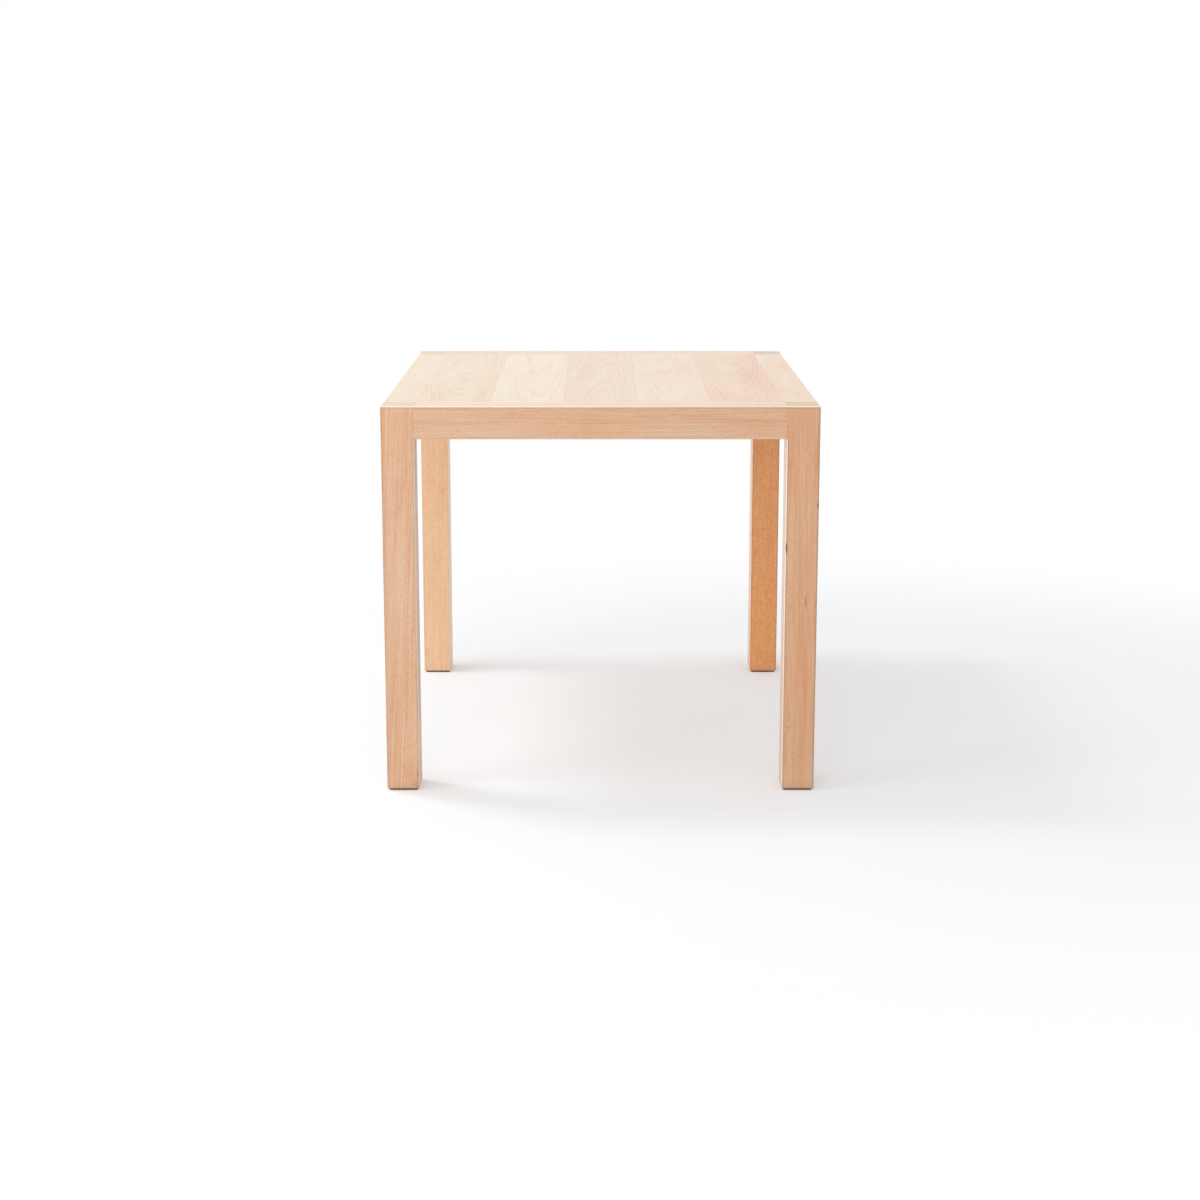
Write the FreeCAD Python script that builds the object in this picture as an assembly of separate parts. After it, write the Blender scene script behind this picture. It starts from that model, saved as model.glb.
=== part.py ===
import FreeCAD, Part
import math
import os

# A square Parsons dining table in solid wood. Four legs run right through to the top surface. Four rails
# of the same stock join them, flush outside and above, with mitred, haunched tenons inside each leg. Five
# tongued and grooved boards fill the frame, and two slotted cross bearers hold them flat from below.
#
# Millimetres. +Z is up, the front faces -Y, and the origin is on the floor under the middle of the top.

# Overall sizes
TABLE_WIDTH = 800.0             # left to right, over the legs
TABLE_DEPTH = 800.0             # front to back, over the legs
TABLE_HEIGHT = 730.0            # floor to the top surface

# Frame stock
STOCK = 60.0                    # square section of the legs, and the thickness of the rails
RAIL_HEIGHT = 60.0              # top surface to the underside of a rail
ARRIS = 1.5                     # rounding of the edges that a hand meets
SEAM_ARRIS = 0.3                # fine bevel where two pieces meet flush
FOOT_CHAMFER = 2.5              # bevel round the bottom of each leg

# Corner joint: a mitred tenon with a sloping haunch
TENON_THICKNESS = 20.0          # centred in the stock
TENON_TOP_SHOULDER = 20.0       # top surface to the top of the tenon
TENON_BOTTOM_SHOULDER = 8.0     # underside of the rail to the bottom of the tenon
HAUNCH_TOP_SHOULDER = 6.0       # top surface to the root of the haunch
HAUNCH_DEPTH = 14.0             # reach of the haunch into the leg, at the top of the tenon
JOINT_FIT = 0.1                 # glue line round a tenon
JOINT_TIP_GAP = 0.5             # room beyond the end of a tenon, and between two mitred tips

# Boards of the top
BOARD_COUNT = 5
BOARD_THICKNESS = 20.0
TONGUE_THICKNESS = 7.0          # centred in the board's thickness
TONGUE_LENGTH = 8.0
TONGUE_FIT = 0.1                # room above and below a tongue
TONGUE_TIP_GAP = 0.5            # room beyond the tip of a tongue

# Cross bearers under the boards
BEARER_WIDTH = 50.0
BEARER_HEIGHT = 30.0
BEARER_SETBACK = 170.0          # inner face of the front or back rail to a bearer's middle
BEARER_ARRIS = 3.0
BEARER_TENON_LENGTH = 18.0
BEARER_TENON_HEIGHT = 16.0
BEARER_TENON_SHOULDER = 5.0     # each side of the tenon

# Pan head screws with wide washers, one through each bearer into each board
SCREW_DIAMETER = 4.5
SCREW_BITE = 14.0               # reach into a board
SCREW_POINT_LENGTH = 4.0
SCREW_BORE_FIT = 0.05           # radial room in the board's bore
SCREW_BORE_TIP_GAP = 1.0        # depth of that bore past the point
SCREW_HEAD_DIAMETER = 9.0
SCREW_HEAD_HEIGHT = 3.2
SCREW_HEAD_BEVEL = 1.2          # slope between the head's crown and its side
RECESS_LENGTH = 4.6             # across the head, of each bar of the cross recess
RECESS_WIDTH = 1.1
RECESS_DEPTH = 2.0
SLOT_SIDE_ROOM = 0.5            # between the shank and each side of its slot
SLOT_TRAVEL = 7.0               # how far a screw can move along its slot, end to end
WASHER_SIDE_ROOM = 0.25         # between the shank and the washer's bore
WASHER_LAP = 1.75               # cover past each end of a slot
WASHER_THICKNESS = 1.5

# Felt pads under the feet
PAD_THICKNESS = 3.0
PAD_MARGIN = 0.5                # edge of the pad inside the bevelled end of the leg
PAD_CORNER = 4.0

# Places that follow from the sizes
HALF_WIDTH = TABLE_WIDTH / 2
HALF_DEPTH = TABLE_DEPTH / 2
PANEL_HALF_WIDTH = HALF_WIDTH - STOCK
PANEL_HALF_DEPTH = HALF_DEPTH - STOCK
RAIL_BOTTOM = TABLE_HEIGHT - RAIL_HEIGHT
BOARD_WIDTH = 2 * PANEL_HALF_WIDTH / BOARD_COUNT
BOARD_BOTTOM = TABLE_HEIGHT - BOARD_THICKNESS
TONGUE_BOTTOM = TABLE_HEIGHT - (BOARD_THICKNESS + TONGUE_THICKNESS) / 2
TONGUE_TOP = TONGUE_BOTTOM + TONGUE_THICKNESS
GROOVE_DEPTH = TONGUE_LENGTH + TONGUE_TIP_GAP
GROOVE_BOTTOM = TONGUE_BOTTOM - TONGUE_FIT
GROOVE_TOP = TONGUE_TOP + TONGUE_FIT
BEARER_BOTTOM = BOARD_BOTTOM - BEARER_HEIGHT
BEARER_PLACE = PANEL_HALF_DEPTH - BEARER_SETBACK
SCREW_RADIUS = SCREW_DIAMETER / 2
SLOT_HALF_WIDTH = SCREW_RADIUS + SLOT_SIDE_ROOM
SLOT_HALF_LENGTH = SLOT_HALF_WIDTH + SLOT_TRAVEL / 2
OVERCUT = 1.0                   # how far a cutting solid runs past the face that it opens
SAME_POINT = 1e-6               # two points nearer than this are one

X_AXIS = FreeCAD.Vector(1, 0, 0)
Z_AXIS = FreeCAD.Vector(0, 0, 1)
DIAGONAL = FreeCAD.Vector(1, 1, 1)
ORIGIN = FreeCAD.Vector(0, 0, 0)
QUARTER_TURN = 90.0
THIRD_TURN = 120.0              # about the diagonal, it carries X to Y, Y to Z and Z to X
FULL_TURN = 360.0

# The four sides go round from the front, a quarter turn each, seen from above. Side n's rail starts at
# corner n and ends at corner n + 1.
SIDES = ["front", "right", "back", "left"]
CORNERS = ["front_left", "front_right", "back_right", "back_left"]


def corner_arc(before, corner, after):
    """The ends and the middle of the arc that rounds one corner of an outline."""
    here = FreeCAD.Vector(corner[0], corner[1], 0)
    to_before = (FreeCAD.Vector(before[0], before[1], 0) - here).normalize()
    to_after = (FreeCAD.Vector(after[0], after[1], 0) - here).normalize()
    half_angle = to_before.getAngle(to_after) / 2
    radius = corner[2]
    setback = radius / math.tan(half_angle)
    to_centre = (to_before + to_after).normalize()
    middle = here + to_centre * (radius / math.sin(half_angle) - radius)
    return here + to_before * setback, middle, here + to_after * setback


def outline(corners):
    """A closed face in the XY plane from (x, y, radius) corners, each rounded where its radius isn't 0."""
    count = len(corners)
    edges = []
    stops = []
    for index, corner in enumerate(corners):
        if corner[2] > 0:
            start, middle, end = corner_arc(corners[index - 1], corner, corners[(index + 1) % count])
            edges.append(Part.Arc(start, middle, end).toShape())
            stops.append((start, end))
        else:
            point = FreeCAD.Vector(corner[0], corner[1], 0)
            stops.append((point, point))
    for index in range(count):
        leave = stops[index][1]
        arrive = stops[(index + 1) % count][0]
        if leave.distanceToPoint(arrive) > SAME_POINT:
            edges.append(Part.LineSegment(leave, arrive).toShape())
    return Part.Face(Part.Wire(Part.__sortEdges__(edges)))


def along_z(corners, low, high):
    """An outline drawn in plan, standing from low to high."""
    prism = outline(corners).extrude(Z_AXIS * (high - low))
    prism.translate(Z_AXIS * low)
    return prism


def along_x(corners, start, end):
    """An outline drawn as (y, z), running from x = start to x = end."""
    prism = outline(corners).extrude(Z_AXIS * (end - start))
    prism.rotate(ORIGIN, DIAGONAL, THIRD_TURN)
    prism.translate(X_AXIS * start)
    return prism


def along_y(corners, start, end):
    """An outline drawn as (x, z), running from y = start to y = end."""
    prism = outline(corners).extrude(Z_AXIS * (start - end))
    prism.rotate(ORIGIN, X_AXIS, QUARTER_TURN)
    prism.translate(FreeCAD.Vector(0, start, 0))
    return prism


def block(low, high):
    """A box between two corners."""
    size = [high[axis] - low[axis] for axis in range(3)]
    return Part.makeBox(size[0], size[1], size[2], FreeCAD.Vector(*low))


def mirrored_x(shape):
    return shape.mirror(ORIGIN, X_AXIS)


def turned(shape, quarters):
    """The shape turned about the table's middle, so what is drawn for the front goes to that side."""
    copy = shape.copy()
    copy.rotate(ORIGIN, Z_AXIS, QUARTER_TURN * quarters)
    return copy


def corner_places():
    """The front left corner, seen from above, of each leg's square, in the order of CORNERS."""
    return [
        (-HALF_WIDTH, -HALF_DEPTH),
        (PANEL_HALF_WIDTH, -HALF_DEPTH),
        (PANEL_HALF_WIDTH, PANEL_HALF_DEPTH),
        (-HALF_WIDTH, PANEL_HALF_DEPTH),
    ]


def side_run(side):
    """Half the length of a side's rail, and the distance from the middle out to its outer face."""
    if side % 2 == 0:
        return PANEL_HALF_WIDTH, HALF_DEPTH
    return PANEL_HALF_DEPTH, HALF_WIDTH


# Corner joints, drawn at the right-hand end of the front rail


def tenon(half_run, outer, fit, reach_gap, mitred):
    """The tenon and its haunch; with a fit and no mitre, the pocket that the leg needs for it."""
    outer_cheek = -outer + (STOCK - TENON_THICKNESS) / 2 - fit
    inner_cheek = outer_cheek + TENON_THICKNESS + 2 * fit
    long_reach = half_run + (STOCK + TENON_THICKNESS) / 2 + reach_gap
    short_reach = long_reach - TENON_THICKNESS if mitred else long_reach
    plan = [
        (half_run, outer_cheek, 0),
        (long_reach, outer_cheek, 0),
        (short_reach, inner_cheek, 0),
        (half_run, inner_cheek, 0),
    ]
    bottom = RAIL_BOTTOM + TENON_BOTTOM_SHOULDER - fit
    top = TABLE_HEIGHT - TENON_TOP_SHOULDER + fit
    tongue = along_z(plan, bottom, top)
    side_view = [
        (half_run, top, 0),
        (half_run + HAUNCH_DEPTH + fit, top, 0),
        (half_run, TABLE_HEIGHT - HAUNCH_TOP_SHOULDER + fit, 0),
    ]
    haunch = along_y(side_view, outer_cheek, inner_cheek)
    return tongue.fuse(haunch).removeSplitter()


def leg_pockets():
    """Every tenon pocket of the frame, two in each leg."""
    pockets = []
    for side in range(len(SIDES)):
        half_run, outer = side_run(side)
        pocket = tenon(half_run, outer, JOINT_FIT, JOINT_TIP_GAP, mitred=False)
        pockets.append(turned(pocket, side))
        pockets.append(turned(mirrored_x(pocket), side))
    return pockets


# Legs, drawn about their own middle with the outer corner towards -X and -Y


def leg_block(low, high):
    return block((-STOCK / 2, -STOCK / 2, low), (STOCK / 2, STOCK / 2, high))


def bevelled_foot():
    """The whole leg's block with the bottom edges bevelled."""
    raw = leg_block(PAD_THICKNESS, TABLE_HEIGHT)
    bottom_edges = [edge for edge in raw.Edges if edge.BoundBox.ZMax < PAD_THICKNESS + OVERCUT]
    return raw.makeChamfer(FOOT_CHAMFER, bottom_edges)


def rounded_outside():
    """The whole leg's block with its outer upright edge and its two outer top edges rounded."""
    raw = leg_block(PAD_THICKNESS, TABLE_HEIGHT)
    chosen = []
    for edge in raw.Edges:
        box = edge.BoundBox
        on_left = box.XMax < 0
        on_front = box.YMax < 0
        on_top = box.ZMin > RAIL_BOTTOM
        if (on_left and on_front) or (on_top and (on_left or on_front)):
            chosen.append(edge)
    return raw.makeFillet(ARRIS, chosen)


def rounded_below_rails():
    """The leg's block with the other three upright edges rounded, from the floor up to the rails."""
    half = STOCK / 2
    plan = [
        (-half, -half, 0),
        (half, -half, ARRIS),
        (half, half, ARRIS),
        (-half, half, ARRIS),
    ]
    return along_z(plan, PAD_THICKNESS, RAIL_BOTTOM).fuse(leg_block(RAIL_BOTTOM, TABLE_HEIGHT))


def legs():
    pockets = leg_pockets()
    blank = rounded_outside().common(rounded_below_rails()).common(bevelled_foot())
    made = {}
    for corner, (x, y) in enumerate(corner_places()):
        leg = turned(blank, corner)
        leg.translate(FreeCAD.Vector(x + STOCK / 2, y + STOCK / 2, 0))
        made[CORNERS[corner] + "_leg"] = leg.cut(pockets)
    return made


# Rails, drawn along the front


def rail_section(outer):
    """The moulded section of a rail, with the panel groove in its inner face."""
    inner = -outer + STOCK
    groove_end = inner - GROOVE_DEPTH
    return [
        (-outer, RAIL_BOTTOM, ARRIS),
        (inner, RAIL_BOTTOM, ARRIS),
        (inner, GROOVE_BOTTOM, 0),
        (groove_end, GROOVE_BOTTOM, 0),
        (groove_end, GROOVE_TOP, 0),
        (inner, GROOVE_TOP, 0),
        (inner, TABLE_HEIGHT - SEAM_ARRIS, 0),
        (inner - SEAM_ARRIS, TABLE_HEIGHT, 0),
        (-outer, TABLE_HEIGHT, ARRIS),
    ]


def shoulder_edges(rail, half_run, outer):
    """The outer, top and bottom edges of a rail's two ends, where it meets the legs."""
    chosen = []
    for edge in rail.Edges:
        box = edge.BoundBox
        at_end = box.XLength < SEAM_ARRIS and abs(abs(box.XMax) - half_run) < SEAM_ARRIS
        if at_end and box.YMin < -outer + ARRIS + SEAM_ARRIS:
            chosen.append(edge)
    return chosen


def bearer_pockets():
    """The pockets for the bearers' tenons in the left and right rails."""
    pockets = []
    for place in (-BEARER_PLACE, BEARER_PLACE):
        pocket = bearer_tenon(place, JOINT_FIT, JOINT_TIP_GAP)
        pockets.append(pocket)
        pockets.append(mirrored_x(pocket))
    return pockets


def rails():
    pockets = bearer_pockets()
    made = {}
    for side, name in enumerate(SIDES):
        half_run, outer = side_run(side)
        body = along_x(rail_section(outer), -half_run, half_run)
        body = body.makeChamfer(SEAM_ARRIS, shoulder_edges(body, half_run, outer))
        end = tenon(half_run, outer, 0, -JOINT_TIP_GAP, mitred=True)
        rail = body.fuse([end, mirrored_x(end)]).removeSplitter()
        made[name + "_rail"] = turned(rail, side).cut(pockets)
    return made


# Boards of the top, numbered from the left


def board_section(index):
    """A board seen from its end: a tongue on the right, and on the left a groove for the next tongue.
    The first board has a tongue on the left too, for the rail's groove."""
    left = -PANEL_HALF_WIDTH + index * BOARD_WIDTH
    right = left + BOARD_WIDTH
    if index == 0:
        step, low, high = -TONGUE_LENGTH, TONGUE_BOTTOM, TONGUE_TOP
    else:
        step, low, high = GROOVE_DEPTH, GROOVE_BOTTOM, GROOVE_TOP
    return [
        (left, BOARD_BOTTOM, 0),
        (right, BOARD_BOTTOM, 0),
        (right, TONGUE_BOTTOM, 0),
        (right + TONGUE_LENGTH, TONGUE_BOTTOM, 0),
        (right + TONGUE_LENGTH, TONGUE_TOP, 0),
        (right, TONGUE_TOP, 0),
        (right, TABLE_HEIGHT - SEAM_ARRIS, 0),
        (right - SEAM_ARRIS, TABLE_HEIGHT, 0),
        (left + SEAM_ARRIS, TABLE_HEIGHT, 0),
        (left, TABLE_HEIGHT - SEAM_ARRIS, 0),
        (left, high, 0),
        (left + step, high, 0),
        (left + step, low, 0),
        (left, low, 0),
    ]


def board_profile():
    """A board seen from its side, with a tongue on each end for the front and back rails' grooves."""
    end = PANEL_HALF_DEPTH
    tip = PANEL_HALF_DEPTH + TONGUE_LENGTH
    return [
        (-end, BOARD_BOTTOM, 0),
        (end, BOARD_BOTTOM, 0),
        (end, TONGUE_BOTTOM, 0),
        (tip, TONGUE_BOTTOM, 0),
        (tip, TONGUE_TOP, 0),
        (end, TONGUE_TOP, 0),
        (end, TABLE_HEIGHT - SEAM_ARRIS, 0),
        (end - SEAM_ARRIS, TABLE_HEIGHT, 0),
        (-end + SEAM_ARRIS, TABLE_HEIGHT, 0),
        (-end, TABLE_HEIGHT - SEAM_ARRIS, 0),
        (-end, TONGUE_TOP, 0),
        (-tip, TONGUE_TOP, 0),
        (-tip, TONGUE_BOTTOM, 0),
        (-end, TONGUE_BOTTOM, 0),
    ]


def leg_clearance():
    """The four squares of the legs, where the outermost tongues stop."""
    squares = []
    for x, y in corner_places():
        square = block((x, y, BOARD_BOTTOM), (x + STOCK, y + STOCK, TABLE_HEIGHT))
        squares.append(square)
    return squares


def screw_places():
    """The (x, y) of every screw: one for each board on each bearer."""
    places = []
    for y in (-BEARER_PLACE, BEARER_PLACE):
        for index in range(BOARD_COUNT):
            places.append((-PANEL_HALF_WIDTH + (index + 0.5) * BOARD_WIDTH, y))
    return places


def top_boards():
    bore_depth = SCREW_BITE + SCREW_BORE_TIP_GAP
    bores = []
    for x, y in screw_places():
        base = FreeCAD.Vector(x, y, BOARD_BOTTOM - OVERCUT)
        bores.append(Part.makeCylinder(SCREW_RADIUS + SCREW_BORE_FIT, OVERCUT + bore_depth, base))
    made = {}
    for index in range(BOARD_COUNT):
        tip = PANEL_HALF_DEPTH + TONGUE_LENGTH
        lengthwise = along_y(board_section(index), -tip, tip)
        reach = PANEL_HALF_WIDTH + TONGUE_LENGTH
        crosswise = along_x(board_profile(), -reach, reach)
        board = lengthwise.common(crosswise).cut(leg_clearance() + bores)
        made["top_board_%d" % (index + 1)] = board.removeSplitter()
    return made


# Cross bearers and their screws


def bearer_tenon(place, fit, reach_gap):
    """The tenon at a bearer's right-hand end, or with a fit the pocket that the rail needs for it."""
    half = BEARER_WIDTH / 2 - BEARER_TENON_SHOULDER + fit
    middle = BEARER_BOTTOM + BEARER_HEIGHT / 2
    rise = BEARER_TENON_HEIGHT / 2 + fit
    end = PANEL_HALF_WIDTH + BEARER_TENON_LENGTH + reach_gap
    return block((PANEL_HALF_WIDTH, place - half, middle - rise), (end, place + half, middle + rise))


def slot(x, y):
    """A slot through a bearer, long in the direction in which a board swells and shrinks."""
    plan = [
        (x - SLOT_HALF_LENGTH, y - SLOT_HALF_WIDTH, SLOT_HALF_WIDTH),
        (x + SLOT_HALF_LENGTH, y - SLOT_HALF_WIDTH, SLOT_HALF_WIDTH),
        (x + SLOT_HALF_LENGTH, y + SLOT_HALF_WIDTH, SLOT_HALF_WIDTH),
        (x - SLOT_HALF_LENGTH, y + SLOT_HALF_WIDTH, SLOT_HALF_WIDTH),
    ]
    return along_z(plan, BEARER_BOTTOM - OVERCUT, BOARD_BOTTOM + OVERCUT)


def bearers():
    slots = [slot(x, y) for x, y in screw_places()]
    made = {}
    for name, place in (("front_bearer", -BEARER_PLACE), ("back_bearer", BEARER_PLACE)):
        near = place - BEARER_WIDTH / 2
        far = place + BEARER_WIDTH / 2
        section = [
            (near, BEARER_BOTTOM, BEARER_ARRIS),
            (far, BEARER_BOTTOM, BEARER_ARRIS),
            (far, BOARD_BOTTOM, 0),
            (near, BOARD_BOTTOM, 0),
        ]
        body = along_x(section, -PANEL_HALF_WIDTH, PANEL_HALF_WIDTH)
        end = bearer_tenon(place, 0, 0)
        made[name] = body.fuse([end, mirrored_x(end)]).removeSplitter().cut(slots)
    return made


def screw():
    """A pan head screw pointing up, its head bearing at z = 0."""
    head_radius = SCREW_HEAD_DIAMETER / 2
    length = WASHER_THICKNESS + BEARER_HEIGHT + SCREW_BITE
    crown = -SCREW_HEAD_HEIGHT
    half_section = [
        FreeCAD.Vector(0, 0, crown),
        FreeCAD.Vector(head_radius - SCREW_HEAD_BEVEL, 0, crown),
        FreeCAD.Vector(head_radius, 0, crown + SCREW_HEAD_BEVEL),
        FreeCAD.Vector(head_radius, 0, 0),
        FreeCAD.Vector(SCREW_RADIUS, 0, 0),
        FreeCAD.Vector(SCREW_RADIUS, 0, length - SCREW_POINT_LENGTH),
        FreeCAD.Vector(0, 0, length),
        FreeCAD.Vector(0, 0, crown),
    ]
    body = Part.Face(Part.makePolygon(half_section)).revolve(ORIGIN, Z_AXIS, FULL_TURN)
    half_long = RECESS_LENGTH / 2
    half_wide = RECESS_WIDTH / 2
    low = crown - OVERCUT
    high = crown + RECESS_DEPTH
    bars = [
        block((-half_long, -half_wide, low), (half_long, half_wide, high)),
        block((-half_wide, -half_long, low), (half_wide, half_long, high)),
    ]
    return body.cut(bars)


def washer():
    """A washer with its top face at z = 0."""
    base = FreeCAD.Vector(0, 0, -WASHER_THICKNESS)
    disc = Part.makeCylinder(SLOT_HALF_LENGTH + WASHER_LAP, WASHER_THICKNESS, base)
    bore = Part.makeCylinder(SCREW_RADIUS + WASHER_SIDE_ROOM, WASHER_THICKNESS, base)
    return disc.cut(bore)


def at_screw_places(shape, height):
    """A compound with one copy of the shape at each screw."""
    copies = []
    for x, y in screw_places():
        copy = shape.copy()
        copy.translate(FreeCAD.Vector(x, y, height))
        copies.append(copy)
    return Part.makeCompound(copies)


def fasteners():
    return {
        "bearer_screws": at_screw_places(screw(), BEARER_BOTTOM - WASHER_THICKNESS),
        "bearer_washers": at_screw_places(washer(), BEARER_BOTTOM),
    }


# Felt pads


def foot_pads():
    near = FOOT_CHAMFER + PAD_MARGIN
    far = STOCK - near
    plan = [
        (near, near, PAD_CORNER),
        (far, near, PAD_CORNER),
        (far, far, PAD_CORNER),
        (near, far, PAD_CORNER),
    ]
    pad = along_z(plan, 0, PAD_THICKNESS)
    made = {}
    for name, (x, y) in zip(CORNERS, corner_places()):
        copy = pad.copy()
        copy.translate(FreeCAD.Vector(x, y, 0))
        made[name + "_foot_pad"] = copy
    return made


def main():
    os.makedirs("parts", exist_ok=True)
    for make in (legs, rails, top_boards, bearers, fasteners, foot_pads):
        for name, shape in make().items():
            shape.exportStep("parts/%s.step" % name)
            print("%-22s %2d solids %12.0f mm3" % (name, len(shape.Solids), shape.Volume))


main()
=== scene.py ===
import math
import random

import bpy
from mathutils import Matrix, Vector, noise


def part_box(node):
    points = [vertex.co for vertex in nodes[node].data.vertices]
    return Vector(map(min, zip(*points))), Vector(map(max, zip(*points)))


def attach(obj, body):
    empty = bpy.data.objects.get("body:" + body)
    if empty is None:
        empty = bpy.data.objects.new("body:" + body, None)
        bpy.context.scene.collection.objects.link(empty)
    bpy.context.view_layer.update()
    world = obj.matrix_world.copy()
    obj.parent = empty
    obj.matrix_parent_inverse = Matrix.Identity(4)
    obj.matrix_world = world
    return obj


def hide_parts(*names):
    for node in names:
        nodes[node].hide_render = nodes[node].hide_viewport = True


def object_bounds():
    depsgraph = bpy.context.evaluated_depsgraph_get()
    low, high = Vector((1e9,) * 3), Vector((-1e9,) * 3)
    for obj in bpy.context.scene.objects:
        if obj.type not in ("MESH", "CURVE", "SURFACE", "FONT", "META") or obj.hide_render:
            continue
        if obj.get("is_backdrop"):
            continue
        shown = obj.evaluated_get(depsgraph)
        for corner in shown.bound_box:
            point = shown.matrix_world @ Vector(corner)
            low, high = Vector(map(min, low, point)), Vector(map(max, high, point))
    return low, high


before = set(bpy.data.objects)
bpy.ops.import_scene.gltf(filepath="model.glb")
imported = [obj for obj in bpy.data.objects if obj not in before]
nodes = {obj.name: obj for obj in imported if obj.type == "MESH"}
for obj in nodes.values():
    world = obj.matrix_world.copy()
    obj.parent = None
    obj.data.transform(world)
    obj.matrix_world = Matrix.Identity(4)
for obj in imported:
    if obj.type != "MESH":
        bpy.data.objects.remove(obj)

# Parsons dining table. The frame's wood pieces and fasteners stay as they are and get their materials
# here. The four felt foot pads are replaced by soft ones. Lengths are in metres, unless a name or a
# comment says mm.

cad_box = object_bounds()
MM = 0.001
WHITE = (1.0, 1.0, 1.0, 1.0)


# ---------------------------------------------------------------- shader writing

class Tree:
    """Adds shader nodes to a node tree. A value is a number, a tuple or another node's output."""

    def __init__(self, tree):
        self.tree = tree
        tree.nodes.clear()

    def put(self, socket, value):
        if isinstance(value, bpy.types.NodeSocket):
            self.tree.links.new(value, socket)
        else:
            socket.default_value = value

    def node(self, kind, settings=None, inputs=None):
        made = self.tree.nodes.new("ShaderNode" + kind)
        for key, value in (settings or {}).items():
            setattr(made, key, value)
        for key, value in (inputs or {}).items():
            self.put(made.inputs[key], value)
        return made

    def math(self, operation, *values):
        made = self.node("Math", {"operation": operation})
        for socket, value in zip(made.inputs, values):
            self.put(socket, value)
        return made.outputs[0]

    def add(self, a, b):
        return self.math("ADD", a, b)

    def sub(self, a, b):
        return self.math("SUBTRACT", a, b)

    def mul(self, a, b):
        return self.math("MULTIPLY", a, b)

    def larger(self, a, b):
        return self.math("MAXIMUM", a, b)

    def size(self, value):
        return self.math("ABSOLUTE", value)

    def rest(self, value):
        """What value leaves of 1."""
        return self.sub(1.0, value)

    def total(self, *values):
        result = values[0]
        for value in values[1:]:
            result = self.add(result, value)
        return result

    def length(self, a, b):
        return self.math("SQRT", self.add(self.mul(a, a), self.mul(b, b)))

    def step(self, value, low, high, first=0.0, last=1.0):
        """A smooth step from first to last while value goes from low to high."""
        made = self.node("MapRange", {"interpolation_type": "SMOOTHSTEP"})
        for socket, given in zip(made.inputs, (value, low, high, first, last)):
            self.put(socket, given)
        return made.outputs[0]

    def fade(self, value, low, high):
        """A smooth step from 1 to 0 while value goes from low to high."""
        return self.step(value, low, high, 1.0, 0.0)

    def vector(self, x, y, z):
        return self.node("CombineXYZ", inputs={"X": x, "Y": y, "Z": z}).outputs[0]

    def split(self, value):
        return self.node("SeparateXYZ", inputs={"Vector": value}).outputs

    def scale(self, vector, factor):
        return self.node("VectorMath", {"operation": "SCALE"}, {0: vector, "Scale": factor}).outputs[0]

    def noise(self, where, detail, roughness=0.5):
        """Noise of one unit's size, from about -0.5 to 0.5."""
        made = self.node("TexNoise", inputs={
            "Vector": where, "Scale": 1.0, "Detail": detail, "Roughness": roughness,
        })
        return self.sub(made.outputs[0], 0.5)

    def mix(self, factor, a, b):
        made = self.node("Mix", {"data_type": "RGBA"})
        self.put(made.inputs[0], factor)
        self.put(made.inputs[6], a)
        self.put(made.inputs[7], b)
        return made.outputs[2]

    def tint(self, colour, amount, change):
        """colour times (1 + amount x change), channel by channel."""
        scaled = self.scale(change, amount)
        lifted = self.node("VectorMath", {"operation": "ADD"}, {0: scaled, 1: (1.0, 1.0, 1.0)}).outputs[0]
        return self.node("VectorMath", {"operation": "MULTIPLY"}, {0: colour, 1: lifted}).outputs[0]

    def blend(self, factor, first, second):
        return self.node("MixShader", inputs={0: factor, 1: first, 2: second}).outputs[0]


def new_material(name):
    material = bpy.data.materials.new(name)
    material.use_nodes = True
    return material, Tree(material.node_tree)


def finish_material(t, colour, roughness, height, lift, uniform):
    """Joins colour, roughness and a bump of the given lift in metres to the surface shader.

    uniform holds the numbers that are the same all over, by the names of the shader's sockets.
    """
    bump = t.node("Bump", inputs={"Strength": 1.0, "Distance": lift, "Height": height})
    surface = t.node("BsdfPrincipled", inputs={
        "Base Color": colour, "Roughness": roughness, "Normal": bump.outputs[0], **uniform,
    })
    t.node("OutputMaterial", inputs={"Surface": surface.outputs[0]})


def dress(name, material):
    """Gives a node of the frame its material."""
    materials = nodes[name].data.materials
    materials.clear()
    materials.append(material)


# ---------------------------------------------------------------- wood as a substance

WOOD_NUMBERS = (                # what a piece tells the node group of wood, with lengths in mm
    "Along", "Across", "Depth", "Heart Across", "Heart Depth", "Lean Across", "Lean Depth",
    "Heart Distance", "Ring Width", "Bulge", "Wobble", "Seed",
    "Ring Contrast", "Streak Contrast", "Grit Contrast", "Fleck Contrast",
    "Gloss", "Mottle", "Mottle Length", "End", "Pale Edge", "Dark Edge", "Mark", "Blush",
)
WOOD_COLOURS = ("Tone", "End Tone")

LAYERS = {
    # noise by name: its size across the grain and along it in mm, where None is the piece's own, and its
    # detail. The order sets each layer's place in the noise
    "wander": (62.0, 430.0, 2.0),       # the bends of the stem
    "waver": (11.0, 95.0, 3.0),         # smaller waves in the rings
    "band": (30.0, 260.0, 2.0),         # where the rings show more and where less
    "broad": (11.0, 600.0, 2.0),        # streaks
    "narrow": (2.7, 330.0, 2.0),
    "fibre": (0.8, 34.0, 2.0),
    "cloud": (48.0, 240.0, 2.0),        # large patches of tone and hue
    "hue": (7.0, 160.0, 2.0),
    "fine": (1.7, 210.0, 2.0),
    "mottle": (16.0, None, 3.0),        # small warm patches
    "thread": (4.2, 300.0, 1.0),        # single dark lines
    "grit": (1.4, 7.0, 2.0),            # pores
}
SEED_SHIFT = (3.17, 0.83)       # how far a seed of 1 moves the noise, and how much further with each layer
SEED_SHIFT_ALONG = 1.7          # the same along the grain, as a share of the shift across
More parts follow.
